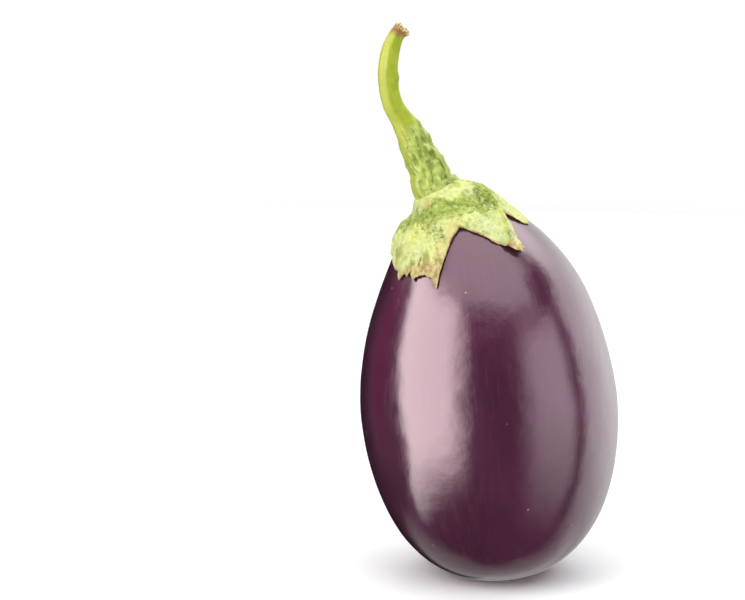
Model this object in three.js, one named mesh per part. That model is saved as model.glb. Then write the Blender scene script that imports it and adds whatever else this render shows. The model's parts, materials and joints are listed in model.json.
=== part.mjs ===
// A whole oval eggplant, standing on the small flat spot at its blossom end.
// Millimetres, +Z up. The origin lies on the flat spot, under the middle of the fruit.
// -Y is the front and +X the right. The fruit leans a little to the left and its stalk bends over
// the same side.
import * as THREE from 'three';
import { mergeVertices } from 'three/addons/utils/BufferGeometryUtils.js';

// Driving dimensions of the fruit
const FRUIT_RADIUS = 42;
const FRUIT_LENGTH = 128.4;
const WIDEST_AT = 0.445;         // share of the length, from the blossom end, where it is widest
const LOWER_ROUNDNESS = 2.01;    // superellipse powers: 2 is an ellipse, less is more pointed
const UPPER_ROUNDNESS = 1.81;
const SHOULDER_DRIFT = 6.5;      // how far the stalk end drifts to the left
const DRIFT_FROM = 0.6;          // share of the length where that drift starts
const LEAN = THREE.MathUtils.degToRad(5.1);
const FLAT_DEPTH = 1.3;          // how much of the round end the flat spot takes away
const FLAT_EDGE = 0.45;          // half height of the soft edge round the flat spot

// Driving dimensions of the calyx. Angles across the top of the fruit are in radians from its pole.
const CALYX_CENTRE = -0.15;      // the calyx sits this far to the left of the pole
const CALYX_GAP = 0.4;
const COLLAR_THICKNESS = 3.2;    // round the stalk
const TIP_THICKNESS = 0.8;       // at the ends of the lobes
const THIN_FROM = 0.22;          // distances from the centre between which the calyx thins
const THIN_TO = 0.74;
const PAD_THICKNESS = 1.9;       // under the flat pad that the stalk stands on
const PAD_RADIUS = 6.8;
const PAD_BLEND = 4;             // how far past the pad the flat runs out

// The five lobes, going round from the back left. Each has the direction and reach of its tip, the
// sinus that ends it, and the powers that shape its two flanks (see lobeFlank).
const LOBES = [
  { tip: -107, reach: 0.79, sinus: -79, depth: 0.52, before: [1.4, 1.0], after: [1.0, 1.8] },
  { tip: -49, reach: 0.81, sinus: -27, depth: 0.58, before: [1.2, 1.3], after: [1.6, 1.9] },
  { tip: -19, reach: 0.72, sinus: 42, depth: 0.53, before: [2.0, 1.0], after: [1.2, 1.2] },
  { tip: 74, reach: 0.79, sinus: 104, depth: 0.53, before: [1.2, 1.2], after: [1.4, 1.3] },
  { tip: 134, reach: 0.69, sinus: 176, depth: 0.47, before: [1.5, 1.1], after: [1.1, 1.4] },
];

// Driving dimensions of the stalk
const STALK_GAP = 0.3;
const STALK_BENDS = [            // the middle line above its foot
  [-22.0, -0.5, 138.3],
  [-26.6, -1.5, 147.2],
  [-31.4, -2.7, 155.0],
  [-32.7, -3.3, 162.8],
  [-32.1, -3.7, 171.0],
  [-28.4, -3.5, 179.9],
];
const STALK_PROFILE = [          // share of its length, radius
  [0, 6.7],
  [0.08, 6.5],
  [0.20, 5.8],
  [0.34, 4.2],
  [0.46, 3.4],
  [0.62, 3.5],
  [0.78, 3.6],
  [0.90, 2.8],
  [0.96, 2.3],
  [0.985, 2.5],
  [1, 2.2],
];

// Resolution
const FRUIT_SEGMENTS = 48;
const FRUIT_ROWS = 44;
const CALYX_SEGMENTS = 90;
const CALYX_ROWS = 10;
const STALK_SEGMENTS = 24;
const STALK_ROWS = 32;

const clamp01 = (x) => THREE.MathUtils.clamp(x, 0, 1);
const smooth = (x, from, to) => THREE.MathUtils.smoothstep(x, from, to);

// ---------------------------------------------------------------------------------------- fruit

// Share of the fruit's length at polar angle w from the stalk end, so that w = 90 degrees is widest.
function shareAt(w) {
  const power = Math.log(0.5) / Math.log(WIDEST_AT);
  return ((1 + Math.cos(w)) / 2) ** (1 / power);
}

// Radius there: a superellipse with one power below the widest place and another above it.
function radiusAt(w) {
  const height = Math.cos(w);
  const power = height < 0 ? LOWER_ROUNDNESS : UPPER_ROUNDNESS;
  return FRUIT_RADIUS * Math.max(0, 1 - Math.abs(height) ** power) ** (1 / power);
}

// A point of the round fruit: the egg, drifted to the left near the stalk, then leaned.
function eggPoint(w, turn) {
  const share = shareAt(w);
  const drift = -SHOULDER_DRIFT * clamp01((share - DRIFT_FROM) / (1 - DRIFT_FROM)) ** 4;
  const radius = radiusAt(w);
  const point = new THREE.Vector3(
    drift + radius * Math.cos(turn),
    radius * Math.sin(turn),
    share * FRUIT_LENGTH,
  );
  return point.applyAxisAngle(new THREE.Vector3(0, 1, 0), -LEAN);
}

// The lowest point of the leaned egg, found along its left and right outline.
function lowestPoint() {
  const steps = 4000;
  let lowest = eggPoint(Math.PI, 0);
  for (let i = 0; i <= steps; i += 1) {
    const w = Math.PI * (0.5 + i / steps);
    const point = eggPoint(w <= Math.PI ? w : 2 * Math.PI - w, w <= Math.PI ? 0 : Math.PI);
    if (point.z < lowest.z) {
      lowest = point;
    }
  }
  return lowest;
}

const REST = lowestPoint().add(new THREE.Vector3(0, 0, FLAT_DEPTH));

// Heights below zero become zero, with a soft edge.
function settle(z) {
  if (z <= -FLAT_EDGE) {
    return 0;
  }
  return z >= FLAT_EDGE ? z : (z + FLAT_EDGE) ** 2 / (4 * FLAT_EDGE);
}

// A point of the fruit as it stands, from its polar angle and turn.
function fruitPoint(w, turn) {
  const point = eggPoint(w, turn).sub(REST);
  point.z = settle(point.z);
  return point;
}

function makeFruit() {
  const profile = [];
  for (let i = 0; i <= FRUIT_ROWS; i += 1) {
    const w = Math.PI * (i / FRUIT_ROWS);
    const onAxis = i === 0 || i === FRUIT_ROWS;
    profile.push(new THREE.Vector2(onAxis ? 0 : Math.sin(w), w));
  }
  // The lathe is worked out on a unit outline whose height is the polar angle, then shaped.
  const geometry = new THREE.LatheGeometry(profile, FRUIT_SEGMENTS);
  return reshape(geometry, (x, w, z) => fruitPoint(w, Math.atan2(z, x)));
}

// ---------------------------------------------------------------------------------------- calyx

// Flat map of the fruit's top: across is to the right and back is away, in radians from the pole.
function topPoint(across, back) {
  return fruitPoint(Math.hypot(across, back), Math.atan2(back, across));
}

function topNormal(across, back) {
  const step = 1e-3;
  const along = topPoint(across + step, back).sub(topPoint(across - step, back));
  const away = topPoint(across, back + step).sub(topPoint(across, back - step));
  return along.cross(away).normalize();
}

// Flank of a lobe, 1 at its tip and 0 at the sinus: 1 less x to one power, to another power.
function lobeFlank(x, [inner, outer]) {
  return (1 - clamp01(x) ** inner) ** outer;
}

// How far the calyx reaches in a direction, in radians across the top.
function calyxReach(turn) {
  const last = LOBES[LOBES.length - 1];
  let from = { sinus: last.sinus - 360, depth: last.depth };
  let degrees = THREE.MathUtils.radToDeg(turn);
  if (degrees < from.sinus) {
    degrees += 360;
  }
  for (const lobe of LOBES) {
    if (degrees <= lobe.sinus) {
      const before = degrees < lobe.tip;
      const side = before ? from : lobe;
      const x = (degrees - lobe.tip) / (side.sinus - lobe.tip);
      const flank = lobeFlank(x, before ? lobe.before : lobe.after);
      return side.depth + (lobe.reach - side.depth) * flank;
    }
    from = lobe;
  }
  return last.depth;
}

function calyxThickness(distance) {
  const thinned = smooth(distance, THIN_FROM, THIN_TO);
  return COLLAR_THICKNESS + (TIP_THICKNESS - COLLAR_THICKNESS) * thinned;
}

const PAD_NORMAL = topNormal(CALYX_CENTRE, 0);
const PAD_CENTRE = topPoint(CALYX_CENTRE, 0)
  .addScaledVector(PAD_NORMAL, CALYX_GAP + PAD_THICKNESS);

// A point of the calyx: rise is 0 on its inner face and 1 on its outer face, which is drawn up to
// the flat pad round the stalk.
function calyxPoint(distance, turn, rise) {
  const across = CALYX_CENTRE + distance * Math.cos(turn);
  const back = distance * Math.sin(turn);
  const point = topPoint(across, back);
  point.addScaledVector(topNormal(across, back), CALYX_GAP + rise * calyxThickness(distance));
  const toPad = PAD_CENTRE.clone().sub(point);
  const lift = toPad.dot(PAD_NORMAL);
  const sideways = Math.sqrt(Math.max(0, toPad.lengthSq() - lift ** 2));
  const onPad = 1 - smooth(sideways, PAD_RADIUS, PAD_RADIUS + PAD_BLEND);
  return point.addScaledVector(PAD_NORMAL, rise * onPad * lift);
}

function makeCalyx() {
  const profile = [new THREE.Vector2(0, 1)];
  for (let i = 1; i < CALYX_ROWS; i += 1) {
    profile.push(new THREE.Vector2(i / CALYX_ROWS, 1));
  }
  profile.push(new THREE.Vector2(0.98, 0.95));
  profile.push(new THREE.Vector2(1, 0.5));
  profile.push(new THREE.Vector2(0.985, 0.05));
  for (let i = CALYX_ROWS - 1; i > 0; i -= 1) {
    profile.push(new THREE.Vector2(i / CALYX_ROWS, 0));
  }
  profile.push(new THREE.Vector2(0, 0));
  const geometry = new THREE.LatheGeometry(profile, CALYX_SEGMENTS);
  return reshape(geometry, (x, rise, z) => {
    const turn = Math.atan2(z, x);
    return calyxPoint(Math.hypot(x, z) * calyxReach(turn), turn, rise);
  });
}

// ---------------------------------------------------------------------------------------- stalk

function makeStalk() {
  const foot = PAD_CENTRE.clone().addScaledVector(PAD_NORMAL, STALK_GAP);
  const heel = foot.clone().addScaledVector(PAD_NORMAL, 2.5);
  const bends = STALK_BENDS.map((bend) => new THREE.Vector3(...bend));
  const line = new THREE.CatmullRomCurve3([foot, heel, ...bends]);
  const frames = line.computeFrenetFrames(STALK_ROWS, false);
  frames.normals[0].projectOnPlane(PAD_NORMAL).normalize();
  frames.binormals[0].crossVectors(PAD_NORMAL, frames.normals[0]);

  const outline = new THREE.SplineCurve(STALK_PROFILE.map(([s, r]) => new THREE.Vector2(s, r)));
  const profile = [new THREE.Vector2(0, 0)];
  for (let i = 0; i <= STALK_ROWS; i += 1) {
    profile.push(new THREE.Vector2(radiusOnOutline(outline, i / STALK_ROWS), i));
  }
  profile.push(new THREE.Vector2(0, STALK_ROWS));
  const geometry = new THREE.LatheGeometry(profile, STALK_SEGMENTS);
  return reshape(geometry, (x, row, z) => {
    const i = Math.round(row);
    const point = line.getPointAt(i / STALK_ROWS);
    point.addScaledVector(frames.binormals[i], x);
    return point.addScaledVector(frames.normals[i], z);
  });
}

// Radius of the stalk's outline at a share of its length, by halving.
function radiusOnOutline(outline, share) {
  let low = 0;
  let high = 1;
  for (let i = 0; i < 30; i += 1) {
    const middle = (low + high) / 2;
    if (outline.getPoint(middle).x < share) {
      low = middle;
    } else {
      high = middle;
    }
  }
  return outline.getPoint(high).y;
}

// -------------------------------------------------------------------------------------- helpers

// Moves each vertex of a lathe by a rule on its x, y and z, after joining the lathe's own seam.
function reshape(geometry, rule) {
  geometry.deleteAttribute('normal');
  geometry.deleteAttribute('uv');
  const joined = mergeVertices(geometry, 1e-5);
  const places = joined.getAttribute('position');
  for (let i = 0; i < places.count; i += 1) {
    const place = rule(places.getX(i), places.getY(i), places.getZ(i));
    places.setXYZ(i, place.x, place.y, place.z);
  }
  joined.computeVertexNormals();
  return joined;
}

function named(name, geometry, color, roughness) {
  const material = new THREE.MeshStandardMaterial({ color, roughness, metalness: 0 });
  const mesh = new THREE.Mesh(geometry, material);
  mesh.name = name;
  return mesh;
}

const eggplant = new THREE.Group();
eggplant.add(named('fruit', makeFruit(), 0x4a2038, 0.3));
eggplant.add(named('calyx', makeCalyx(), 0xc0d070, 0.6));
eggplant.add(named('stem', makeStalk(), 0xa6b84a, 0.65));

export default eggplant;
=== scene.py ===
"""A whole oval eggplant, standing on the small flat spot at its blossom end.

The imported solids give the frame. Round them this script builds the fine surfaces of the three
pieces, which are the fruit's skin, the calyx and the stalk, and their finishes. Shapes are worked
out in millimetres of the full-size part and put in place in metres. +Z is up, -Y is the front and
+X is the right. A direction round the fruit or the stalk is a turn from +X towards the back.
"""
import itertools
import json
import math
import types

import bpy
import numpy as np
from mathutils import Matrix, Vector

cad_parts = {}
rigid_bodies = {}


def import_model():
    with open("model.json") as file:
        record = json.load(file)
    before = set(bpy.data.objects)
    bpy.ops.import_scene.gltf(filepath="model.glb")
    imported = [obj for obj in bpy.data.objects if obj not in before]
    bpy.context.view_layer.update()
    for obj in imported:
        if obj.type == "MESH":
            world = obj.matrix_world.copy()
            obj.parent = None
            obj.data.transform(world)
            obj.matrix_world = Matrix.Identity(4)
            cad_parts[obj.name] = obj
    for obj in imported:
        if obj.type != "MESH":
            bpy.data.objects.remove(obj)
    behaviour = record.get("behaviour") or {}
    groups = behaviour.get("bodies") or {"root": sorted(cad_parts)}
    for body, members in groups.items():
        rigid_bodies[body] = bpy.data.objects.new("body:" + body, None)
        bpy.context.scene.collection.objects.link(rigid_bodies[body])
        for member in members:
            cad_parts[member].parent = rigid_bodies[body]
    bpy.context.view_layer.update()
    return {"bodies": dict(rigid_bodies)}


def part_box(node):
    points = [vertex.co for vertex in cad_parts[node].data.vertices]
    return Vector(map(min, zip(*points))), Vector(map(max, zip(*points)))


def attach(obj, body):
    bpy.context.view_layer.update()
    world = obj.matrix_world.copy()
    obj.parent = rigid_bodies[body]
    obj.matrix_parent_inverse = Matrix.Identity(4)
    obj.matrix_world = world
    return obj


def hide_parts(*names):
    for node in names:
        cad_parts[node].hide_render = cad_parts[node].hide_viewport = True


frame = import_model()

# One millimetre of the full-size part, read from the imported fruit, which is 84 mm deep.
fruit_low, fruit_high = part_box("fruit")
FRUIT_RADIUS = 42.0
MM = (fruit_high.y - fruit_low.y) / (2 * FRUIT_RADIUS)
BODY = next(iter(frame["bodies"]))

# ------------------------------------------------------------------ driving dimensions, in mm

FRUIT_LENGTH = 128.4
WIDEST_AT = 0.445            # share of the length, from the blossom end
LOWER_ROUNDNESS = 2.01       # superellipse powers below and above the widest place
UPPER_ROUNDNESS = 1.81
SHOULDER_DRIFT = 6.5         # how far the stalk end drifts to the left
DRIFT_FROM = 0.6
LEAN = math.radians(5.1)
FLAT_DEPTH = 1.3             # what the flat spot takes off the round end
FLAT_EDGE = 0.45
SCAR_RADIUS = 3.6            # the corky scar of the flower, in the middle of the blossom end
FURROW_MAP = (14, 14, 2.2)   # the skin's streak map: wide round the fruit, slow from end to end

CALYX_CENTRE = -0.15         # radians across the top, from the pole, where the stalk stands
CALYX_GAP = 0.25             # between the calyx and the skin, away from its lifted edges
COLLAR_THICKNESS = 3.3
TIP_THICKNESS = 0.6
THIN_FROM = 0.24             # distances from the centre between which the calyx thins
THIN_TO = 0.76
LEFT_THINNING = 0.42         # how much thinner the calyx is on its left side
PAD_THICKNESS = 1.9          # the calyx under the foot of the stalk
PAD_RADIUS = 5.8
PAD_BLEND = 4.5
PAD_CLEARANCE = 0.4          # between the fruit and the pad
COLLAR_LIP_RADIUS = 8.3      # a low ring round the pad
RIM_FROM = 0.985             # share of the reach at which the outer face turns into the rim
RIM_BULGE = 0.012
FOLD_MAP = (9, 9, 12)        # the calyx's fold map: round it, and outward

STALK_SUNK = 1.3             # how deep the foot of the stalk grows into the calyx
STALK_HEEL = 2.2             # height of the stalk's first bend above the pad
RIND_STRETCH = 2.6           # how much the warts are drawn out along the stalk
STALK_STREAK_MAP = 5
CORK_FROM = 0.925            # shares of the length between which the rind turns to cork
CORK_TO = 0.962
CUT_LIP_AT = 0.985
DISH_DEPTH = 1.1             # of the cut end
STALK_BENDS = [              # the middle line above the foot: right, back, up
    (-20.0, 0.0, 133.4),
    (-22.45, -0.5, 138.3),
    (-24.9, -1.0, 143.2),
    (-28.2, -1.9, 149.4),
    (-31.3, -2.7, 154.8),
    (-32.75, -3.2, 161.5),
    (-32.7, -3.6, 168.0),
    (-31.4, -3.7, 174.0),
    (-29.7, -3.6, 177.5),
    (-27.7, -3.5, 179.5),
]
STALK_PROFILE = [            # share of the length, radius
    (0.00, 6.5),
    (0.04, 6.45),
    (0.08, 6.30),
    (0.14, 5.9),
    (0.22, 5.35),
    (0.30, 4.80),
    (0.38, 4.10),
    (0.46, 3.50),
    (0.54, 3.20),
    (0.64, 3.10),
    (0.76, 3.10),
    (0.85, 2.90),
    (0.92, 2.50),
    (0.965, 2.40),
    (0.985, 2.45),
    (1.00, 2.05),
]

# The five lobes of the calyx, from the front left round by the right to the back left. Each has
# the direction and reach of its tip, the sinus that ends it, and the powers that shape its two
# flanks. Directions are in degrees and reaches in radians across the top of the fruit.
LOBES = [
    dict(tip=-107, reach=0.765, sinus=-79, depth=0.52, before=(1.4, 1.0), after=(1.0, 1.8)),
    dict(tip=-49, reach=0.80, sinus=-27, depth=0.58, before=(1.2, 1.3), after=(1.6, 1.9)),
    dict(tip=-15, reach=0.72, sinus=42, depth=0.53, before=(2.0, 1.0), after=(1.2, 1.2)),
    dict(tip=74, reach=0.79, sinus=104, depth=0.53, before=(1.2, 1.2), after=(1.4, 1.3)),
    dict(tip=134, reach=0.69, sinus=176, depth=0.47, before=(1.5, 1.1), after=(1.1, 1.4)),
]

# Dried teeth on the edge: direction, how far each stands out, half width in degrees.
TEETH = [
    (-148.5, 0.026, 6.0),
    (-141.0, 0.052, 2.4),
    (-133.0, 0.022, 1.5),
    (-129.7, -0.010, 1.2),
    (-126.3, 0.010, 2.0),
    (-120.0, -0.014, 3.0),
    (-112.5, -0.016, 3.0),
    (-107.2, 0.070, 2.1),
    (-50.0, 0.012, 2.0),
    (-47.2, 0.030, 0.9),
    (-43.8, 0.050, 1.5),
    (66.0, 0.030, 2.5),
    (79.0, 0.045, 2.0),
    (88.0, 0.020, 1.6),
    (125.0, 0.035, 2.4),
    (139.0, 0.050, 2.0),
    (151.0, 0.020, 2.0),
]

# Keels that stand up along the lobes: direction at the sinus circle, drift per radian of
# distance, height, half width in degrees, and the distance from which each one rises.
FRONT_KEEL = (-36.6, -90.0, 1.3, 1.7, 0.36)
KEELS = [
    (-137.0, 10.0, 0.35, 9.0, 0.30),
    FRONT_KEEL,
    (-14.0, -10.0, 0.20, 5.0, 0.40),
    (76.0, 0.0, 0.60, 6.0, 0.35),
    (136.0, 0.0, 0.50, 6.0, 0.30),
]
KEEL_ORIGIN = 0.56           # distance of the sinus circle
KEEL_RISE = 0.14             # the distance over which a keel rises to its height

# Marks on the calyx: direction in degrees, distance in radians across the top, radius in mm.
# First the places where dark dots crowd together, then paler and more olive patches.
DOT_CROWDS = [
    (-38.3, 0.47, 3.6),
    (-30.0, 0.40, 2.4),
    (-101.6, 0.52, 3.0),
    (-115.0, 0.42, 2.6),
    (-49.5, 0.725, 1.8),
    (60.0, 0.45, 3.5),
    (150.0, 0.40, 3.5),
]
PALE_PATCHES = [
    (-120.0, 0.53, 6.0),
    (-62.0, 0.57, 5.5),
    (-20.0, 0.55, 4.0),
    (74.0, 0.53, 5.5),
    (136.0, 0.50, 5.5),
]
OLIVE_PATCHES = [
    (-147.0, 0.585, 2.4),
    (-114.4, 0.639, 1.7),
    (-129.0, 0.655, 1.0),
    (92.0, 0.58, 2.2),
]
RUST_SPOT = (-112.1, 0.265, 1.7)
RINGED_SCAR = (-44.7, 0.340, 1.45)
KNOB = (-53.4, 0.232, 1.4)

# Places where the edge lifts off the skin: direction, lift, half width in degrees.
LIFTS = [
    (-119.0, 0.55, 6.0),
    (-106.0, 0.35, 3.0),
    (-49.0, 2.0, 5.0),
    (-22.0, 0.1, 6.0),
    (72.0, 1.6, 9.0),
    (136.0, 1.1, 8.0),
]

# --------------------------------------------------------------------------- shape functions


def smooth(x, low, high):
    """0 below low, 1 above high, and three t squared less two t cubed between them."""
    t = np.clip((x - low) / (high - low), 0, 1)
    return t * t * (3 - 2 * t)


def bell(x, width):
    """A bump of height 1 at x = 0: e to the minus (x over width) squared."""
    return np.exp(-((x / width) ** 2))


def turn_gap(turn, degrees):
    """The signed difference in degrees between a turn in radians and a direction."""
    return (np.degrees(turn) - degrees + 180) % 360 - 180


def facing(turn, degrees, width):
    """A bump of height 1 in a direction, and of that width in degrees round it."""
    return bell(turn_gap(turn, degrees), width)


def lattice_noise(points, size, seed):
    """Smooth noise from -1 to 1. Random values stand on a cubic lattice with that cell size, and
    a point takes the average of its cell's eight corners, weighted by a smoothstep on each axis."""
    values = np.random.default_rng(seed).uniform(-1, 1, (31, 37, 41))
    place = np.asarray(points) / size
    cell = np.floor(place).astype(int)
    share = place - cell
    share = share * share * (3 - 2 * share)
    total = np.zeros(place.shape[:-1])
    for corner in itertools.product((0, 1), repeat=3):
        weight = np.where(corner, share, 1 - share).prod(axis=-1)
        index = (cell + corner) % values.shape
        total += weight * values[index[..., 0], index[..., 1], index[..., 2]]
    return total


def layered_noise(points, size, seed, layers=3, fall=0.5):
    """Sum of lattice noises, each with half the cell size and a share of the last one's height."""
    total = 0
    for layer in range(layers):
        total = total + fall**layer * lattice_noise(points, size / 2**layer, seed + layer)
    return total


def ridged_noise(points, size, seed):
    """A net of sharp ridges: 1 less twice the size of lattice noise, which is 1 where the noise
    changes sign."""
    return 1 - 2 * np.abs(lattice_noise(points, size, seed))


def through(knots, values, at):
    """Cubic curve through values at rising knots. The slope at a knot is that between its two
    neighbours, and each stretch is the Hermite cubic of its ends and their slopes."""
    knots, values = np.asarray(knots, float), np.asarray(values, float)
    flat = values.reshape(len(knots), -1)
    slopes = np.gradient(flat, knots, axis=0)
    i = np.clip(np.searchsorted(knots, at, side="right") - 1, 0, len(knots) - 2)
    gap = (knots[i + 1] - knots[i])[..., None]
    t = ((at - knots[i]) / gap[..., 0])[..., None]
    start = (1 + 2 * t) * (1 - t) ** 2 * flat[i] + t * (1 - t) ** 2 * gap * slopes[i]
    end = t**2 * (3 - 2 * t) * flat[i + 1] + t**2 * (t - 1) * gap * slopes[i + 1]
    return (start + end).reshape(np.shape(at) + values.shape[1:])


def unit(vectors):
    """Vectors divided by their lengths."""
    return vectors / np.linalg.norm(vectors, axis=-1, keepdims=True)


# ------------------------------------------------------------------------------------- fruit


def egg_point(w, turn):
    """A point of the leaned egg at polar angle w from the stalk end. Its height share t is
    (1 + cos w) / 2 to a power that puts the widest place at WIDEST_AT, and its radius is the
    superellipse (1 - |cos w| to the power n) to the power 1 / n. The top drifts left with the
    fourth power of the height past DRIFT_FROM, and the whole is turned about +Y by the lean."""
    height = np.cos(w)
    share = ((1 + height) / 2) ** (math.log(WIDEST_AT) / math.log(0.5))
    power = np.where(height < 0, LOWER_ROUNDNESS, UPPER_ROUNDNESS)
    radius = FRUIT_RADIUS * np.clip(1 - np.abs(height) ** power, 0, None) ** (1 / power)
    drift = -SHOULDER_DRIFT * np.clip((share - DRIFT_FROM) / (1 - DRIFT_FROM), 0, None) ** 4
    x, y, z = drift + radius * np.cos(turn), radius * np.sin(turn), share * FRUIT_LENGTH
    right = x * math.cos(LEAN) - z * math.sin(LEAN)
    up = x * math.sin(LEAN) + z * math.cos(LEAN)
    return np.stack([right, y, up], axis=-1)


def resting_offset():
    """The lowest point of the egg's outline in the plane y = 0, raised by the flat spot."""
    w = np.linspace(np.pi / 2, np.pi, 4001)
    outline = np.concatenate([egg_point(w, 0.0), egg_point(w, np.pi)])
    return outline[np.argmin(outline[:, 2])] + (0, 0, FLAT_DEPTH)


REST = resting_offset()


def fruit_point(w, turn):
    """A point of the standing fruit. Heights under the floor become 0, with a soft edge that is
    the square of (z + e) over 4e, where e is FLAT_EDGE."""
    point = egg_point(w, turn) - REST
    z = point[..., 2]
    soft = (np.clip(z, -FLAT_EDGE, FLAT_EDGE) + FLAT_EDGE) ** 2 / (4 * FLAT_EDGE)
    point[..., 2] = np.where(z > FLAT_EDGE, z, soft)
    return point


def top_point(across, back):
    """The fruit's surface over a flat map of its top, whose unit is a radian from the pole."""
    return fruit_point(np.hypot(across, back), np.arctan2(back, across))


def top_normal(across, back):
    """Outward normal there, the cross product of the surface's two differences."""
    step = 1e-3
    along = top_point(across + step, back) - top_point(across - step, back)
    away = top_point(across, back + step) - top_point(across, back - step)
    return unit(np.cross(along, away))


def skin_surface(rows=250, turns=330):
    """The skin over polar angle and turn. Slow noise swells it by a few tenths of a millimetre,
    less under the calyx and none on the flat spot, and faint long furrows run from end to end.
    The flower's scar is a shallow dish with a raised rim at the blossom pole."""
    w = np.linspace(0, np.pi, rows)[:, None]
    turn = np.linspace(0, 2 * np.pi, turns, endpoint=False)[None, :]
    w, turn = np.broadcast_arrays(w, turn)
    point = fruit_point(w, turn)
    outward = point - np.array([0, 0, FRUIT_LENGTH * WIDEST_AT])
    outward = unit(outward * (1 / FRUIT_RADIUS**2, 1 / FRUIT_RADIUS**2, 4 / FRUIT_LENGTH**2))
    furrow_map = np.stack([np.cos(turn), np.sin(turn), w], axis=-1) * FURROW_MAP
    swell = 0.26 * lattice_noise(point, 34, 3) + 0.10 * lattice_noise(point, 14, 4)
    swell += 0.045 * layered_noise(point, 6.5, 5) + 0.06 * lattice_noise(furrow_map, 3.0, 6)
    swell *= smooth(point[..., 2], 0.3, 14) * (0.25 + 0.75 * smooth(w, 0.45, 0.95))
    from_pole = (np.pi - w) * FRUIT_RADIUS
    rough = layered_noise(point, 1.6, 8)
    dish = 0.9 * bell(from_pole, 0.75 * SCAR_RADIUS) + 0.16 * rough * bell(from_pole, SCAR_RADIUS)
    point = point + outward * swell[..., None]
    point[..., 2] += np.clip(dish, 0, None) * (from_pole < 2.5 * SCAR_RADIUS)
    scar = smooth(SCAR_RADIUS + 0.8 * rough - from_pole, -0.5, 0.5)
    fields = dict(
        streak=furrow_map,
        scar=scar,
        under_calyx=1 - smooth(w, 0.5, 0.9),
        girth=smooth(np.sin(w), 0.30, 0.75),
    )
    return point, fields


# ------------------------------------------------------------------------------------- calyx


def calyx_reach(turn):
    """How far the calyx reaches in a direction: on each flank of a lobe, from sinus to tip, it is
    the sinus depth plus the rest times (1 - x to one power) to another, where x is 0 at the tip.
    Teeth are bells added on top, and fine noise frays the edge."""
    degrees = np.degrees(turn)
    start = LOBES[-1]["sinus"] - 360
    degrees = (degrees - start) % 360 + start
    reach = np.full(np.shape(turn), LOBES[-1]["depth"])
    depth_before = LOBES[-1]["depth"]
    for lobe in LOBES:
        rising = (degrees >= start) & (degrees < lobe["tip"])
        falling = (degrees >= lobe["tip"]) & (degrees <= lobe["sinus"])
        sides = [
            (rising, start, depth_before, lobe["before"]),
            (falling, lobe["sinus"], lobe["depth"], lobe["after"]),
        ]
        for inside, sinus, depth, (inner, outer) in sides:
            x = np.clip((degrees - lobe["tip"]) / (sinus - lobe["tip"]), 0, 1)
            flank = depth + (lobe["reach"] - depth) * (1 - x**inner) ** outer
            reach = np.where(inside, flank, reach)
        start, depth_before = lobe["sinus"], lobe["depth"]
    for direction, height, width in TEETH:
        reach = reach + height * facing(turn, direction, width)
    ring = np.stack([np.cos(turn), np.sin(turn), np.zeros_like(turn)], axis=-1)
    fray = 0.35 + 0.65 * smooth(reach, 0.60, 0.72)
    frayed = 0.012 * layered_noise(ring, 0.075, 21) + 0.007 * lattice_noise(ring, 0.022, 25)
    return reach + fray * frayed


PAD_NORMAL = top_normal(CALYX_CENTRE, 0.0)
PAD_CENTRE = top_point(CALYX_CENTRE, 0.0) + PAD_NORMAL * (PAD_CLEARANCE + PAD_THICKNESS)


def mark_gap(turn, distance, mark):
    """Distance in mm over the calyx from the middle of a mark."""
    direction, away = math.radians(mark[0]), mark[1]
    across = distance * np.cos(turn) - away * math.cos(direction)
    back = distance * np.sin(turn) - away * math.sin(direction)
    return FRUIT_RADIUS * np.hypot(across, back)


def marked(turn, distance, marks):
    """The sum of the bells of some marks."""
    return sum(bell(mark_gap(turn, distance, mark), mark[2]) for mark in marks)


def keel_gap(turn, distance, keel):
    """Degrees past the middle of a keel, which drifts round as it runs out."""
    return turn_gap(turn, keel[0] + keel[1] * (distance - KEEL_ORIGIN))


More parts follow.
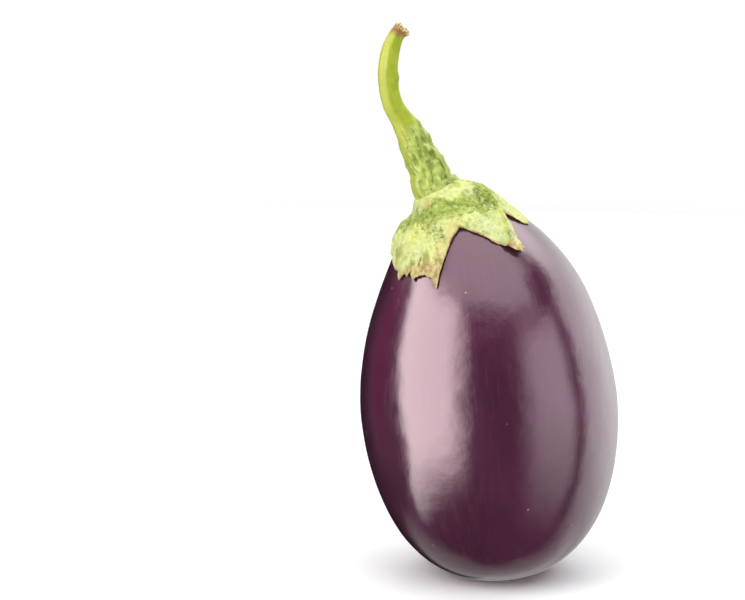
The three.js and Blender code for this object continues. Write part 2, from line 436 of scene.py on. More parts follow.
def calyx_surface(turns=620, outer_rows=96, rim_rows=7, inner_rows=34):
    """The calyx as a closed shell over its share of reach and its turn, out along the outer face,
    round the rim and back along the inner face. A point stands off the fruit by the gap, the lift
    of the edge and a share of the thickness. The thickness falls from collar to tip by a
    smoothstep. Near the stalk the outer face is drawn up to the flat of the pad. Keels are bells
    across the lobes, and noise adds folds, warts and wrinkles."""
    out = np.linspace(0, 1, outer_rows)
    rim = np.linspace(0, np.pi, rim_rows + 2)[1:-1]
    shares = np.concatenate([
        RIM_FROM * (1 - (1 - out) ** 1.35),
        RIM_FROM + RIM_BULGE * np.sin(rim),
        np.linspace(RIM_FROM, 0, inner_rows),
    ])[:, None]
    rises = np.concatenate([
        np.ones(outer_rows), (1 + np.cos(rim)) / 2, np.zeros(inner_rows),
    ])[:, None]
    turn = np.linspace(-np.pi, np.pi, turns, endpoint=False)[None, :]
    reach = calyx_reach(turn[0])[None, :]
    share, rise, turn, reach = np.broadcast_arrays(shares, rises, turn, reach)
    distance = share * reach
    across = CALYX_CENTRE + distance * np.cos(turn)
    back = distance * np.sin(turn)
    ground, normal = top_point(across, back), top_normal(across, back)

    thinned = smooth(distance, THIN_FROM, THIN_TO)
    thickness = COLLAR_THICKNESS + (TIP_THICKNESS - COLLAR_THICKNESS) * thinned
    thickness *= 1 - LEFT_THINNING * smooth(-np.cos(turn), 0.1, 0.9)
    thickness *= 1 - 0.45 * smooth(share, 0.90, 1.0)

    keel = np.zeros_like(distance)
    for line in KEELS:
        height, width, start = line[2:]
        across_keel = bell(keel_gap(turn, distance, line), width)
        keel += height * across_keel * smooth(distance, start, start + KEEL_RISE)
    lift = np.zeros_like(distance)
    for direction, height, width in LIFTS:
        lift += height * facing(turn, direction, width)
    lift = (lift + 0.12) * smooth(share, 0.80, 1.0) ** 1.5

    fold_map = np.stack([np.cos(turn), np.sin(turn), distance], axis=-1) * FOLD_MAP
    folds = 0.55 * lattice_noise(ground, 8.5, 31) + 0.42 * layered_noise(ground, 3.4, 32)
    wrinkles = 0.38 * ridged_noise(fold_map, 1.1, 35) * smooth(distance, 0.30, 0.62)
    warts = 0.42 * ridged_noise(ground, 2.1, 36) * (1 - smooth(distance, 0.30, 0.55))
    grain = 0.15 * layered_noise(ground, 0.8, 38)
    swelling = 0.8 * facing(turn, -12, 38) * bell(distance - 0.39, 0.13)
    swelling += 1.3 * facing(turn, -168, 38) * bell(distance - 0.51, 0.11)
    swelling -= 2.0 * facing(turn, -178, 50) * bell(distance - 0.28, 0.08)
    swelling -= 1.3 * facing(turn, -8, 24) * smooth(distance, 0.42, 0.58)
    scar_gap = mark_gap(turn, distance, RINGED_SCAR)
    scar = 0.35 * bell(scar_gap - RINGED_SCAR[2], 0.5) - 0.3 * bell(scar_gap, 0.8)
    knob = 0.9 * bell(mark_gap(turn, distance, KNOB), KNOB[2])
    swelling = swelling + scar + knob
    crease = 0.45 * bell(turn_gap(turn, -121.5) - 25 * (distance - 0.66) ** 2 / 0.02, 0.9)
    crease *= smooth(distance, 0.60, 0.64) * (1 - smooth(distance, 0.69, 0.73))
    relief = rise * (keel + folds + wrinkles + warts + grain + swelling - crease)
    relief *= smooth(distance, 0.02, 0.16)

    height = CALYX_GAP + lift + rise * thickness + relief
    height = np.maximum(height, CALYX_GAP * 0.8 + rise * 0.25)
    point = ground + normal * height[..., None]

    to_pad = PAD_CENTRE - point
    raised = to_pad @ PAD_NORMAL
    sideways = np.sqrt(np.clip((to_pad**2).sum(-1) - raised**2, 0, None))
    on_pad = 1 - smooth(sideways, PAD_RADIUS, PAD_RADIUS + PAD_BLEND)
    lip = (0.3 + 0.3 * np.cos(turn)) * bell(sideways - COLLAR_LIP_RADIUS, 1.0)
    lip *= 1 + 0.6 * lattice_noise(ground, 2.0, 44)
    point = point + (rise * (on_pad * raised + lip))[..., None] * PAD_NORMAL

    edge = smooth(share, 0.955, 0.992)
    ragged = 0.05 * layered_noise(ground, 2.4, 41)
    front_left = facing(turn, -118, 24)
    past_keel = keel_gap(turn, distance, FRONT_KEEL)
    beside_keel = facing(turn, -39, 17) * smooth(distance, 0.44, 0.54)
    right_flank = smooth(past_keel, 1.2, 2.2) * beside_keel * smooth(distance, 0.56, 0.62)
    zone = distance + ragged - 0.09 * facing(turn, -45, 36)
    dry = smooth(distance + ragged, 0.57, 0.70) * (0.15 + 0.85 * front_left)
    dry = np.maximum(dry, smooth(distance + ragged, 0.735, 0.79))
    dry = np.maximum(dry, edge * (0.45 + 0.4 * smooth(reach, 0.52, 0.62)))
    collar_edge = 11.5 + 5.0 * facing(turn, -40, 50)
    fields = dict(
        dry=np.clip(dry, 0, 1),
        distance=distance,
        inside=1 - rise,
        # painted shade: the hollows of the folds, warts and wrinkles are darkened in the colour where
        # shade falls
        hollow=np.clip(0.5 - 1.1 * (folds + wrinkles + warts + grain), 0, 1),
        keel=np.clip(keel, 0, 1),
        radial=fold_map,
        crowd=marked(turn, distance, DOT_CROWDS),
        verdure=smooth(zone, 0.23, 0.30) * (1 - smooth(zone, 0.37, 0.48)),
        cool=facing(turn, -57, 26) * smooth(distance, 0.45, 0.58),
        flank=right_flank,
        # painted shadow: a thin dark line just past the front keel, on its shaded side
        groove=bell(past_keel - 2.0, 0.75) * beside_keel,
        olive=marked(turn, distance, OLIVE_PATCHES),
        margin=smooth(share, 0.82, 0.93) * facing(turn, -93, 13),
        patch=marked(turn, distance, PALE_PATCHES),
        rust=bell(mark_gap(turn, distance, RUST_SPOT) + 0.9 * ragged / 0.05, RUST_SPOT[2]),
        # painted shade: the crease's groove is also darkened in the colour, as shade in the fold
        crease=smooth(crease, 0.12, 0.32),
        scar=bell(scar_gap - RINGED_SCAR[2], 0.65),
        pock=bell(scar_gap, 0.95),
        collar=1 - smooth(sideways + 22 * ragged, 8.5, collar_edge),
    )
    return point, fields


# ------------------------------------------------------------------------------------- stalk


def stalk_line(shares):
    """The middle line of the stalk: a cubic curve from its sunk foot through its bends, run at an
    even speed. Returns the points, the curve's direction there, and its whole length."""
    foot = PAD_CENTRE - PAD_NORMAL * STALK_SUNK
    heel = PAD_CENTRE + PAD_NORMAL * STALK_HEEL
    knots = np.array([foot, heel, *STALK_BENDS])
    chords = np.linalg.norm(np.diff(knots, axis=0), axis=1)
    at = np.concatenate([[0], np.cumsum(chords)])
    fine = np.linspace(0, at[-1], 2000)
    line = through(at, knots, fine)
    run = np.concatenate([[0], np.cumsum(np.linalg.norm(np.diff(line, axis=0), axis=1))])
    fine_at = np.interp(np.asarray(shares) * run[-1], run, fine)
    step = 0.05
    ahead, behind = through(at, knots, fine_at + step), through(at, knots, fine_at - step)
    return through(at, knots, fine_at), unit(ahead - behind), run[-1]


def stalk_surface(rows=430, cap_rows=22, turns=170):
    """The stalk over its length and turn: a profile of radii carried along the bent middle line.
    Its section has soft facets above and a net of warts below, which is ridged noise drawn out
    along the stalk. The cut end is a lip round a rough corky dish."""
    side = np.linspace(0, 1, rows)
    share = np.concatenate([[0], side, np.ones(cap_rows)])[:, None]
    inset = np.concatenate([[0], np.ones(rows), np.linspace(0.93, 0, cap_rows)])[:, None]
    turn = np.linspace(0, 2 * np.pi, turns, endpoint=False)[None, :]
    share, inset, turn = np.broadcast_arrays(share, inset, turn)
    centre, ahead, length = stalk_line(share[:, 0])
    backward = unit(np.array([0, 1, 0]) - ahead * ahead[:, 1:2])
    rightward = np.cross(backward, ahead)

    knots, radii = zip(*STALK_PROFILE)
    radius = through(knots, radii, share)
    left_side = facing(turn, 200, 36)
    warty = 1 - smooth(share, 0.34 - 0.12 * left_side, 0.47 - 0.08 * left_side)
    warty = warty * (1 - 0.5 * left_side)
    along = share * length / RIND_STRETCH
    ring = np.stack([np.cos(turn) * radius, np.sin(turn) * radius, along], axis=-1)
    ridges = 0.46 * ridged_noise(ring, 1.7, 51) + 0.28 * ridged_noise(ring, 0.85, 52)
    lumps = 0.42 * lattice_noise(ring, 2.9, 53) + 0.46 * layered_noise(ring, 1.2, 54)
    facets = 0.13 * np.cos(5 * turn + 0.6 + 1.4 * share) + 0.05 * lattice_noise(ring, 2.2, 55)
    streak_map = np.stack([np.cos(turn), np.sin(turn), share], axis=-1) * STALK_STREAK_MAP
    streaks = 0.02 * layered_noise(streak_map, 0.8, 56)
    shoulder = 0.75 * bell(share - 0.395, 0.035) * facing(turn, -10, 42)
    shoulder += 1.7 * bell(share, 0.055) * facing(turn, 5, 60)
    shoulder += 0.45 * bell(share - 0.70, 0.03) * facing(turn, -5, 30)
    relief = warty * (ridges + lumps) + (1 - warty) * (facets + streaks) + shoulder
    corky = smooth(share + 0.012 * lattice_noise(ring, 1.4, 57), CORK_FROM, CORK_TO)
    cork_grain = layered_noise(ring + inset[..., None] * 3.0, 0.9, 58)
    lip = 0.42 * bell(share - CUT_LIP_AT, 0.012) * (0.55 + 0.45 * np.cos(turn + 0.3))
    relief = relief + corky * (0.17 * cork_grain) + lip
    spread = (radius + relief) * inset

    dish = (1 - inset) * DISH_DEPTH + 0.35 * cork_grain * smooth(1 - inset, 0, 0.4)
    dish = dish * (share >= 1)
    to_right, to_back = spread * np.cos(turn), spread * np.sin(turn)
    point = centre[:, None] + rightward[:, None] * to_right[..., None]
    point = point + backward[:, None] * to_back[..., None] - ahead[:, None] * dish[..., None]
    fields = dict(
        # painted shadow: the foot of the stalk is darkened at its front right, in the pit between it
        # and the knob
        foot=bell(share - 0.035, 0.03) * facing(turn, -35, 32),
        warty=warty,
        cork=corky,
        lip=smooth(share, 0.972, CUT_LIP_AT) * smooth(inset, 0.62, 0.9),
        # the height of the wart relief, used to paint light on the crests and shade between them
        crest=np.clip(0.45 + 0.75 * (ridges + lumps), 0, 1),
        streak=streak_map,
        lit=np.cos(turn - math.radians(205)),
        rind=ring,
    )
    return point, fields


# ---------------------------------------------------------------------------------- meshes


def closed_mesh(name, points, fields):
    """One closed mesh from a grid of points in mm. The first and last rows are poles, the columns
    wrap round, and the faces are turned outward by the sign of the enclosed volume. Each field
    becomes an attribute of the points."""
    rows, turns = points.shape[:2]

    def gathered(values):
        """Rows of a grid as one list, in which each pole counts once."""
        between = values[1:-1].reshape(-1, *values.shape[2:])
        return np.concatenate([values[:1, 0], between, values[-1:, 0]])

    vertices = gathered(points) * MM
    ring = np.arange((rows - 2) * turns).reshape(rows - 2, turns) + 1
    beside = np.roll(ring, -1, axis=1)
    quads = np.stack([ring[:-1], beside[:-1], beside[1:], ring[1:]], axis=-1).reshape(-1, 4)
    first = np.stack([np.zeros(turns, int), beside[0], ring[0]], axis=-1)
    last = np.stack([np.full(turns, len(vertices) - 1), ring[-1], beside[-1]], axis=-1)
    halves = np.concatenate([quads[:, :3], quads[:, [0, 2, 3]], first, last])
    corners = vertices[halves]
    volume = (corners[:, 0] * np.cross(corners[:, 1], corners[:, 2])).sum()
    faces = [*quads.tolist(), *first.tolist(), *last.tolist()]
    if volume < 0:
        faces = [face[::-1] for face in faces]
    mesh = bpy.data.meshes.new(name)
    mesh.from_pydata(vertices.tolist(), [], faces)
    for field, values in fields.items():
        values = gathered(np.broadcast_to(values, points.shape[:2] + np.shape(values)[2:]))
        kind, key = ("FLOAT", "value") if values.ndim == 1 else ("FLOAT_VECTOR", "vector")
        attribute = mesh.attributes.new(field, kind, "POINT")
        attribute.data.foreach_set(key, values.astype(np.float32).ravel())
    mesh.shade_smooth()
    mesh.update()
    piece = bpy.data.objects.new(name, mesh)
    bpy.context.scene.collection.objects.link(piece)
    return piece


# ------------------------------------------------------------------------------- finishes


class Field:
    """A value that varies over a surface. Arithmetic on it adds Math nodes to its finish."""

    def __init__(self, finish, socket):
        self.finish = finish
        self.socket = socket

    def maths(self, operation, *values):
        return self.finish.add("ShaderNodeMath", {"operation": operation}, dict(enumerate(values)))

    def __add__(self, other):
        return self.maths("ADD", self, other)

    def __sub__(self, other):
        return self.maths("SUBTRACT", self, other)

    def __rsub__(self, other):
        return self.maths("SUBTRACT", other, self)

    def __mul__(self, other):
        return self.maths("MULTIPLY", self, other)

    __radd__ = __add__
    __rmul__ = __mul__

    def step(self, low, high):
        """0 below low and 1 above high, with a smoothstep between; low may be the larger."""
        settings = {"interpolation_type": "SMOOTHSTEP"}
        return self.finish.add("ShaderNodeMapRange", settings, {0: self, 1: low, 2: high})


class Finish:
    """A material or world's node tree, with one way to add a node and short names for common ones."""

    def __init__(self, owner):
        owner.use_nodes = True
        self.tree = owner.node_tree
        self.tree.nodes.clear()

    def add(self, kind, settings=None, sockets=None, output=0):
        """Adds a node, sets its settings and then its sockets, and gives one output as a Field."""
        node = self.tree.nodes.new(kind)
        for key, value in (settings or {}).items():
            setattr(node, key, value)
        for key, value in (sockets or {}).items():
            if isinstance(value, Field):
                self.tree.links.new(value.socket, node.inputs[key])
            else:
                node.inputs[key].default_value = value
        return Field(self, node.outputs[output]) if node.outputs else None

    def place(self):
        return self.add("ShaderNodeTexCoord", output="Object")

    def field(self, name, output="Fac"):
        return self.add("ShaderNodeAttribute", {"attribute_name": name}, output=output)

    def noise(self, where, size, detail=3.0, roughness=0.55, distortion=0.0):
        """Noise from 0 to 1 with features of about that many millimetres on Object coordinates."""
        sockets = {
            "Vector": where, "Scale": 1 / (size * MM), "Detail": detail,
            "Roughness": roughness, "Distortion": distortion,
        }
        return self.add("ShaderNodeTexNoise", sockets=sockets)

    def map_noise(self, where, scale, detail=3.0):
        """Noise over a piece's own map of its surface."""
        sockets = {"Vector": where, "Scale": scale, "Detail": detail}
        return self.add("ShaderNodeTexNoise", sockets=sockets)

    def cells(self, where, size):
        """Distance to the nearest of scattered points that stand about that many mm apart."""
        sockets = {"Vector": where, "Scale": 1 / (size * MM)}
        return self.add("ShaderNodeTexVoronoi", sockets=sockets, output="Distance")

    def mix(self, factor, first, second):
        """One colour where the factor is 0 and the other where it is 1."""
        sockets = {0: factor, 6: first, 7: second}
        return self.add("ShaderNodeMix", {"data_type": "RGBA"}, sockets, 2)

    def bump(self, height, depth, under=None):
        """A bump whose height of 1 stands for that many millimetres."""
        sockets = {"Height": height, "Strength": 1.0, "Distance": depth * MM}
        if under is not None:
            sockets["Normal"] = under
        return self.add("ShaderNodeBump", sockets=sockets)

    def principled(self, **sockets):
        named = {key.replace("_", " "): value for key, value in sockets.items()}
        shader = self.add("ShaderNodeBsdfPrincipled", sockets=named)
        self.add("ShaderNodeOutputMaterial", sockets={"Surface": shader})


def palette(**tones):
    """Named colours, from linear red, green and blue, for a finish to mix."""
    return types.SimpleNamespace(**{name: (*tone, 1.0) for name, tone in tones.items()})


SKIN_TONES = palette(
    deep_wine=(0.043, 0.0088, 0.024),
    wine=(0.060, 0.0120, 0.033),
    streak=(0.075, 0.016, 0.043),
    pore=(0.13, 0.055, 0.085),
    speck=(0.34, 0.22, 0.20),
    dark_cork=(0.20, 0.11, 0.055),
    pale_cork=(0.45, 0.31, 0.18),
    shaded=(0.10, 0.045, 0.055),
    gloss=(1.0, 0.70, 0.83),
)

CALYX_TONES = palette(
    yellow=(0.62, 0.65, 0.19),
    cream=(0.58, 0.63, 0.25),
    cool=(0.53, 0.565, 0.29),
    green=(0.275, 0.350, 0.052),
    pale_fibre=(0.67, 0.71, 0.33),
    dark_fibre=(0.36, 0.42, 0.085),
    collar=(0.60, 0.64, 0.26),
    deep_green=(0.135, 0.185, 0.022),
    fleck=(0.52, 0.58, 0.17),
    # painted shade for the hollows of the relief
    hollow=(0.17, 0.24, 0.028),
    olive=(0.27, 0.27, 0.045),
    keel=(0.42, 0.50, 0.06),
    flank=(0.62, 0.61, 0.34),
    # painted shadow line beside the front keel
    groove=(0.10, 0.09, 0.025),
    margin=(0.60, 0.52, 0.22),
    dot=(0.12, 0.17, 0.022),
    lone_dot=(0.11, 0.15, 0.02),
    # painted shade along the crease
    crease=(0.12, 0.10, 0.025),
    scar=(0.62, 0.66, 0.33),
    pock=(0.24, 0.23, 0.06),
    rust=(0.55, 0.31, 0.10),
    dark_tan=(0.36, 0.265, 0.09),
    pale_tan=(0.60, 0.49, 0.21),
    brown_fleck=(0.16, 0.085, 0.03),
    inner_face=(0.34, 0.30, 0.12),
)

STALK_TONES = palette(
    green=(0.25, 0.31, 0.006),
    yellow_green=(0.32, 0.37, 0.018),
    streak=(0.21, 0.28, 0.006),
    lit=(0.42, 0.43, 0.040),
    # painted shade between the warts and painted light on their crests, by the height of the relief
    pit_green=(0.155, 0.215, 0.025),
    crest_green=(0.33, 0.40, 0.085),
    low_lit=(0.34, 0.41, 0.030),
    # a painted highlight on the highest crests
    pale_crest=(0.50, 0.56, 0.19),
    shade=(0.16, 0.21, 0.018),
    pit=(0.06, 0.08, 0.015),
    # painted shadow at the front right of the stalk's foot
    foot=(0.11, 0.14, 0.018),
    dark_cork=(0.15, 0.065, 0.014),
    rusty_cork=(0.36, 0.20, 0.055),
    pale_lip=(0.62, 0.55, 0.30),
)

# How light spreads under the green flesh, per colour, in metres.
FLESH_RADIUS = (0.8 * MM, 0.9 * MM, 0.3 * MM)


def skin_finish():
    """Dark wine skin under a clear waxy bloom: slow changes of hue, fine long streaks in the
    gloss, pinprick pores, a few pale specks, and the tan cork of the flower's scar."""
    material = bpy.data.materials.new("aubergine_skin")
    f, tone = Finish(material), SKIN_TONES
    place, streak_map = f.place(), f.field("streak", "Vector")
    scar, hidden, girth = f.field("scar"), f.field("under_calyx"), f.field("girth")
    clouds = f.noise(place, 26, 4)
    streaks = f.map_noise(streak_map, 2.6, 6)
    hair = f.map_noise(streak_map, 9.0, 4)
    pore = f.cells(place, 1.5).step(0.16, 0.06) * f.noise(place, 6, 2).step(0.42, 0.60)
    speck = f.cells(place, 6.5).step(0.060, 0.030) * f.noise(place, 17, 1).step(0.50, 0.56)
    cork = f.mix(f.noise(place, 1.4, 5).step(0.35, 0.7), tone.dark_cork, tone.pale_cork)

    base = f.mix(clouds.step(0.35, 0.70), tone.deep_wine, tone.wine)
    base = f.mix(streaks.step(0.50, 0.72) * 0.35, base, tone.streak)
    base = f.mix(pore * 0.18, base, tone.pore)
    base = f.mix(speck * 0.75, base, tone.speck)
    base = f.mix(scar, base, cork)
    base = f.mix(hidden * 0.25, base, tone.shaded)

    ripple = f.noise(place, 3.4, 2, 0.6)
    rough = 0.205 + (streaks - 0.5) * girth * 0.16 + (ripple - 0.5) * 0.08
    rough += scar * 0.5 + speck * 0.2
    bumps = f.bump(ripple, 0.085)
    bumps = f.bump(hair * girth, 0.010, bumps)
    bumps = f.bump(speck, 0.06, bumps)
    f.principled(
        Base_Color=base, Roughness=rough, Normal=bumps, IOR=1.5,
        Specular_Tint=tone.gloss, Coat_Weight=0.5, Coat_Roughness=0.11,
    )
    return material


def calyx_finish():
    """Fleshy yellow green: pale lobes, greener mottling near the stalk, clusters of dark dots,
    painted shade in the hollows of the relief, a painted shadow line beside the front keel, painted
    shade along the crease, and edges dried to tan with brown flecks."""
    material = bpy.data.materials.new("calyx_flesh")
    f, tone = Finish(material), CALYX_TONES
    place, radial = f.place(), f.field("radial", "Vector")
    distance, verdure, hollow = f.field("distance"), f.field("verdure"), f.field("hollow")
    fine, medium = f.noise(place, 1.5, 4, 0.62, 0.4), f.noise(place, 3.8, 3, 0.60, 0.6)
    large, fibres = f.noise(place, 8, 3), f.map_noise(radial, 2.3, 5)
    grain = f.noise(place, 0.5, 5)
    uneven = medium - 0.5

    mottling = verdure * 0.85 + uneven * 2.0 + (fine - 0.5) * 1.1 - f.field("patch") * 0.25
    green = (mottling + 0.06).step(0.10, 0.80)
    outer = distance.step(0.40, 0.52)
    collar = f.field("collar") * medium.step(0.38, 0.54)
    shaded = fine.step(0.475, 0.40) * (verdure * 0.80 + 0.15)
    flecked = fine.step(0.54, 0.66) * (verdure * 0.65 + 0.12)
    olive = (f.field("olive") + uneven * 1.4).step(0.25, 0.75)
    crowded = (f.field("crowd") + uneven * 1.2).step(0.25, 0.75)
    dot = f.noise(place, 0.9, 4, 0.65, 0.8).step(0.49, 0.42) * crowded
    lone = f.cells(place, 2.3).step(0.16, 0.09) * large.step(0.44, 0.52)
    rust = (f.field("rust") + (fine - 0.5) * 2.4).step(0.30, 0.95)
    frayed = (f.field("dry") + (f.noise(place, 1.9, 5) - 0.5) * 0.9).step(0.30, 0.78)
    tan = f.mix(fibres.step(0.35, 0.65), tone.dark_tan, tone.pale_tan)
    tan = f.mix(f.noise(place, 1.1, 4).step(0.58, 0.68) * 0.65, tan, tone.brown_fleck)

    base = f.mix(large.step(0.42, 0.60), tone.yellow, tone.cream)
    layers = [
        (f.field("cool") * 0.7, tone.cool),
        (green, tone.green),
        (fibres.step(0.50, 0.66) * outer * 0.5, tone.pale_fibre),
        (fibres.step(0.47, 0.36) * outer * 0.28, tone.dark_fibre),
        (collar * 0.7, tone.collar),
        (shaded, tone.deep_green),
        (flecked, tone.fleck),
        # painted shade in the hollows of the relief
        (hollow.step(0.50, 0.92) * 0.55, tone.hollow),
        (olive * 0.75, tone.olive),
        (f.field("keel").step(0.35, 0.8) * 0.7, tone.keel),
        (f.field("flank") * 0.65, tone.flank),
        # painted shadow line beside the front keel
        (f.field("groove") * 0.75, tone.groove),
        (f.field("margin") * 0.75, tone.margin),
        (dot * 0.75, tone.dot),
        (lone * 0.5, tone.lone_dot),
        # painted shade along the crease
        (f.field("crease") * 0.8, tone.crease),
        (f.field("scar") * 0.7, tone.scar),
        (f.field("pock") * 0.9, tone.pock),
        (rust * 0.6, tone.rust),
        (frayed, tan),
        (f.field("inside") * 0.7, tone.inner_face),
    ]
    for share, layer in layers:
        base = f.mix(share, base, layer)

    bumps = f.bump(grain, 0.14)
    for height, depth in [(medium, 0.8), (fine, 1.0), (fibres, 0.14), (dot, -0.15)]:
        bumps = f.bump(height, depth, bumps)
    rough = 0.50 + (grain - 0.5) * 0.2 + frayed * 0.22
    f.principled(
        Base_Color=base, Roughness=rough, Normal=bumps, IOR=1.42, Specular_IOR_Level=0.25,
        Subsurface_Weight=0.08, Subsurface_Radius=FLESH_RADIUS, Subsurface_Scale=1.0,
    )
    return material


def stalk_finish():
    """Green stalk: the warty foot has dark pits, painted light on its pale crests and painted shade
    between them, and a painted shadow at its front right; above it is smooth yellow green with long
    streaks; both are painted lighter on the left side; the cut end is orange brown cork with a pale
    lip."""
    material = bpy.data.materials.new("stalk_rind")
    f, tone = Finish(material), STALK_TONES
    place, streak_map = f.place(), f.field("streak", "Vector")
    foot, warty, cork = f.field("foot"), f.field("warty"), f.field("cork")
    lip, crest, lit = f.field("lip"), f.field("crest"), f.field("lit")
    streaks = f.map_noise(streak_map, 2.2, 6)
    clouds, fine = f.noise(place, 4.5, 3), f.map_noise(f.field("rind", "Vector"), 0.72, 5)
    pits = f.cells(place, 2.4).step(0.20, 0.10) * clouds.step(0.47, 0.55)
    # painted shadow at the front right of the stalk's foot, beside the knob
    painted_foot_shadow = (foot + (fine - 0.5) * 1.2).step(0.3, 0.9)

    above = f.mix(clouds.step(0.40, 0.60), tone.green, tone.yellow_green)
    above = f.mix(streaks.step(0.46, 0.62) * 0.3, above, tone.streak)
    above = f.mix(lit.step(0.35, 1.0) * 0.7, above, tone.lit)

    # painted shade in the low places of the warts and painted light on their crests
    below = f.mix(crest.step(0.14, 0.74), tone.pit_green, tone.crest_green)
    below = f.mix(lit.step(0.0, 0.9) * 0.55, below, tone.low_lit)
    # painted highlight on the highest crests
    below = f.mix(fine.step(0.51, 0.61) * crest.step(0.30, 0.80) * 0.7, below, tone.pale_crest)
    below = f.mix(fine.step(0.46, 0.38) * 0.5, below, tone.shade)
    below = f.mix(pits * 0.7, below, tone.pit)
    # painted shadow at the front right of the stalk's foot
    below = f.mix(painted_foot_shadow * 0.7, below, tone.foot)

    base = f.mix(warty.step(0.15, 0.85), above, below)
    rust = f.mix(f.noise(place, 1.2, 5).step(0.35, 0.66), tone.dark_cork, tone.rusty_cork)
    base = f.mix(cork, base, rust)
    base = f.mix(lip * f.noise(place, 1.0, 3).step(0.40, 0.56), base, tone.pale_lip)

    grain = f.noise(place, 0.45, 5)
    bumps = f.bump(grain, 0.08)
    bumps = f.bump(streaks, 0.03, bumps)
    bumps = f.bump(fine * warty, 0.4, bumps)
    rough = 0.46 + (grain - 0.5) * 0.2 + warty * 0.08 + cork * 0.25
    f.principled(
        Base_Color=base, Roughness=rough, Normal=bumps, IOR=1.42, Specular_IOR_Level=0.3,
        Subsurface_Weight=0.06, Subsurface_Radius=FLESH_RADIUS, Subsurface_Scale=1.0,
    )
    return material


# ------------------------------------------------------------------------------- the studio

# How bright each soft box is, as the gloss shows it.
KEY_BRIGHTNESS = 9.8
PANEL_BRIGHTNESS = 3.25
SIDE_BRIGHTNESS = 3.3
BACK_BRIGHTNESS = 2.2
LEFT_BRIGHTNESS = 2.4
GROUND_BRIGHTNESS = 0.48
BLUSH_BRIGHTNESS = 0.28
ROOM_BRIGHTNESS = 0.012      # the dark of the room
ROOM_GLOW = 0.038            # added everywhere but at the back left
CARD_SHADE = 0.96            # how much light the dark card takes away

WHITE = (1.0, 1.0, 1.0, 1.0)
WARM_WHITE = (1.0, 0.955, 0.915, 1.0)
WINE_GLOW = (1.0, 0.02, 0.34, 1.0)
FLOOR_WHITE = (0.93, 0.94, 0.945, 1.0)

# Lamps for the matt surfaces, as seen from the fruit: name, azimuth, elevation, width and height
# in degrees, distance in metres, brightness.
FILLS = [
    ("front_left_fill", -52, 36, 36, 36, 0.8, 3.3),
    ("front_fill", -10, 12, 80, 60, 0.8, 0.34),
    ("front_right_fill", 45, 18, 60, 60, 0.8, 0.75),
    ("top_fill", 70, 80, 84, 84, 0.9, 1.65),
    ("back_fill", 172, 18, 90, 60, 0.8, 0.8),
]

FLOOR_RADIUS = 1.6           # metres
FLOOR_SIDES = 96
FLOOR_FADE = (0.25, 0.95)    # metres from the fruit between which the floor fades out

CAMERA_AWAY = 800            # mm
CAMERA_ELEVATION = 10
CAMERA_TARGET = (-37.78, 0, 90.96)
CAMERA_LENS = 119.17
CAMERA_SENSOR = 36


def aim(thing, place, target):
    """Puts a camera or light somewhere and turns its -Z axis to a target."""
    thing.location = place
    away = Vector(target) - Vector(place)
    thing.rotation_euler = away.to_track_quat("-Z", "Y").to_euler()


def direction_from(azimuth, elevation):
    """A unit vector from the fruit: azimuth 0 is towards the camera and positive to the right."""
    a, e = math.radians(azimuth), math.radians(elevation)
    return np.array([math.sin(a) * math.cos(e), -math.cos(a) * math.cos(e), math.sin(e)])


def fill_light(name, azimuth, elevation, wide, tall, away, brightness):
    """A rectangular lamp that spans wide by tall degrees as seen from the fruit. It lights matt
    surfaces only: what the gloss shows is the soft boxes of the studio's walls."""
    data = bpy.data.lights.new(name, "AREA")
    data.shape = "RECTANGLE"
    data.size = 2 * away * math.tan(math.radians(wide / 2))
    data.size_y = 2 * away * math.tan(math.radians(tall / 2))
    data.energy = 4 * brightness * data.size * data.size_y
    lamp = bpy.data.objects.new(name, data)
    bpy.context.scene.collection.objects.link(lamp)
    middle = np.array([0, 0, 0.45 * FRUIT_LENGTH * MM])
    aim(lamp, middle + direction_from(azimuth, elevation) * away, middle)
    lamp.visible_camera = False
    lamp.visible_glossy = False


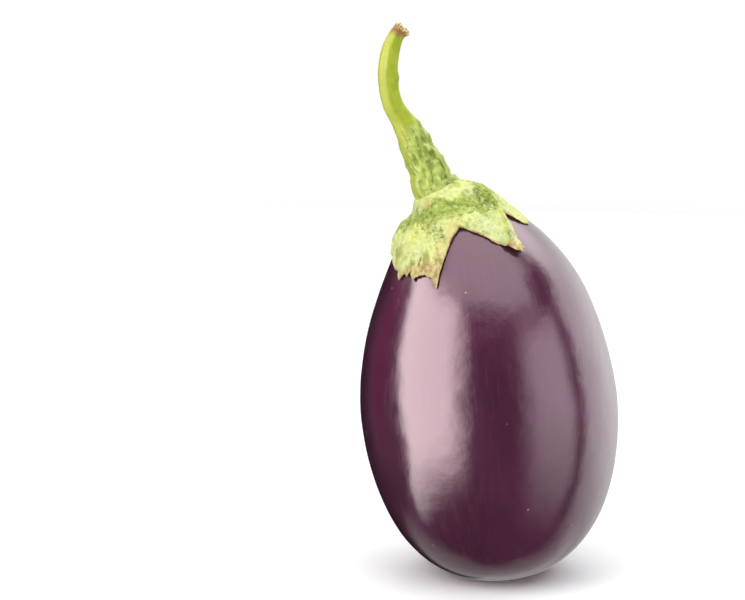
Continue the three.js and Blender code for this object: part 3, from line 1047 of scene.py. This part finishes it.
def studio_world():
    """White all round for the camera. For glossy surfaces it is a dark room with soft boxes in
    it, each a product of smooth steps of the azimuth and the elevation of a direction: the key on
    the left, a panel overhead with a dark card at its right end, a weaker box on the right, pale
    walls and ground behind, and a faint wine-coloured glow at the back left."""
    world = bpy.data.worlds.new("studio")
    bpy.context.scene.world = world
    f = Finish(world)
    direction = f.add("ShaderNodeTexCoord", output="Generated")
    right = f.add("ShaderNodeSeparateXYZ", sockets={0: direction}, output="X")
    axes = right.socket.node.outputs
    back, up = Field(f, axes["Y"]), Field(f, axes["Z"])
    azimuth = right.maths("ARCTAN2", right, 0 - back) * math.degrees(1)
    elevation = up.maths("ARCSINE", up) * math.degrees(1)
    turned = azimuth.maths("ABSOLUTE", azimuth)

    slanted = elevation - (azimuth + 60) * 0.17
    hooked = azimuth + elevation * 0.33 + elevation.step(-21, -45) * 22
    key = hooked.step(-95.5, -84.5) * azimuth.step(-15, -43)
    key *= slanted.step(-47, -17) * elevation.step(40, 28)
    panel = elevation.step(31, 41) * azimuth.step(-76, -52) * azimuth.step(94, 66)
    side = azimuth.step(20, 48) * azimuth.step(88, 70) * elevation.step(-62, 8)
    side *= elevation.step(38, 20)
    wall = azimuth.step(170, 106) * BACK_BRIGHTNESS + 0.85
    wall *= azimuth.step(87, 98) * elevation.step(-66, 8)
    high = azimuth.step(96, 110) * elevation.step(24, 46) * BACK_BRIGHTNESS
    left = azimuth.step(-100, -112) * elevation.step(10, 26) * LEFT_BRIGHTNESS
    ground = turned.step(96, 128) * elevation.step(-34, -43) * elevation.step(-84, -68)
    card = azimuth.step(56, 72) * azimuth.step(112, 96)
    card *= elevation.step(27, 33) * elevation.step(49, 41)
    blush = azimuth.step(-142, -120) * azimuth.step(-92, -112)
    blush *= elevation.step(-36, -10) * elevation.step(24, 8)

    boxes = key * KEY_BRIGHTNESS + panel * PANEL_BRIGHTNESS + side * SIDE_BRIGHTNESS
    boxes += wall + high + left + ground * GROUND_BRIGHTNESS + blush * BLUSH_BRIGHTNESS
    boxes += ROOM_BRIGHTNESS + azimuth.step(-100, -80) * ROOM_GLOW
    boxes *= 1 - card * CARD_SHADE
    seen = f.add("ShaderNodeLightPath", output="Is Camera Ray")
    strength = boxes * (1 - seen) + seen
    tint = f.mix(key.step(0, 0.6) * (1 - seen), WHITE, WARM_WHITE)
    tint = f.mix(blush * (1 - key.step(0, 0.1)) * (1 - seen), tint, WINE_GLOW)
    sky = f.add("ShaderNodeBackground", sockets={"Color": tint, "Strength": strength})
    f.add("ShaderNodeOutputWorld", sockets={"Surface": sky})
    world.cycles_visibility.diffuse = False
    world.cycles_visibility.transmission = False
    world.cycles_visibility.scatter = False


def studio_floor():
    """A pale round floor that fades into the white behind it."""
    turns = np.linspace(0, 2 * np.pi, FLOOR_SIDES, endpoint=False)
    rim = np.stack([np.cos(turns), np.sin(turns), np.zeros(FLOOR_SIDES)], axis=-1) * FLOOR_RADIUS
    mesh = bpy.data.meshes.new("floor")
    mesh.from_pydata(rim.tolist(), [], [list(range(FLOOR_SIDES))])
    floor = bpy.data.objects.new("floor", mesh)
    bpy.context.scene.collection.objects.link(floor)
    material = bpy.data.materials.new("floor_white")
    f = Finish(material)
    length = f.add("ShaderNodeVectorMath", {"operation": "LENGTH"}, {0: f.place()}, "Value")
    white = f.add("ShaderNodeBsdfDiffuse", sockets={"Color": FLOOR_WHITE})
    clear = f.add("ShaderNodeBsdfTransparent")
    both = f.add("ShaderNodeMixShader", sockets={0: length.step(*FLOOR_FADE), 1: white, 2: clear})
    f.add("ShaderNodeOutputMaterial", sockets={"Surface": both})
    mesh.materials.append(material)
    floor.visible_glossy = False
    floor.visible_shadow = False


def studio_camera():
    """A long lens, a little above level, aimed a little to the left of the fruit."""
    target = np.array(CAMERA_TARGET) * MM
    data = bpy.data.cameras.new("camera")
    data.lens = CAMERA_LENS
    data.sensor_width = CAMERA_SENSOR
    data.clip_start = 0.01
    camera = bpy.data.objects.new("camera", data)
    bpy.context.scene.collection.objects.link(camera)
    aim(camera, target + direction_from(0, CAMERA_ELEVATION) * (CAMERA_AWAY * MM), target)
    bpy.context.scene.camera = camera


# --------------------------------------------------------------------------------- assembly

studio_camera()
studio_world()
studio_floor()
for fill in FILLS:
    fill_light(*fill)
bpy.context.scene.view_settings.view_transform = "Standard"

PIECES = [
    ("fruit_skin", "fruit", "fruit_skin", skin_surface, skin_finish),
    ("calyx_cap", "calyx", "calyx_green", calyx_surface, calyx_finish),
    ("stalk", "stem", "stalk_green", stalk_surface, stalk_finish),
]
for name, node, slot, surface, finish in PIECES:
    piece = closed_mesh(name, *surface())
    piece.data.materials.append(finish())
    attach(piece, BODY)
    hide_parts(node)
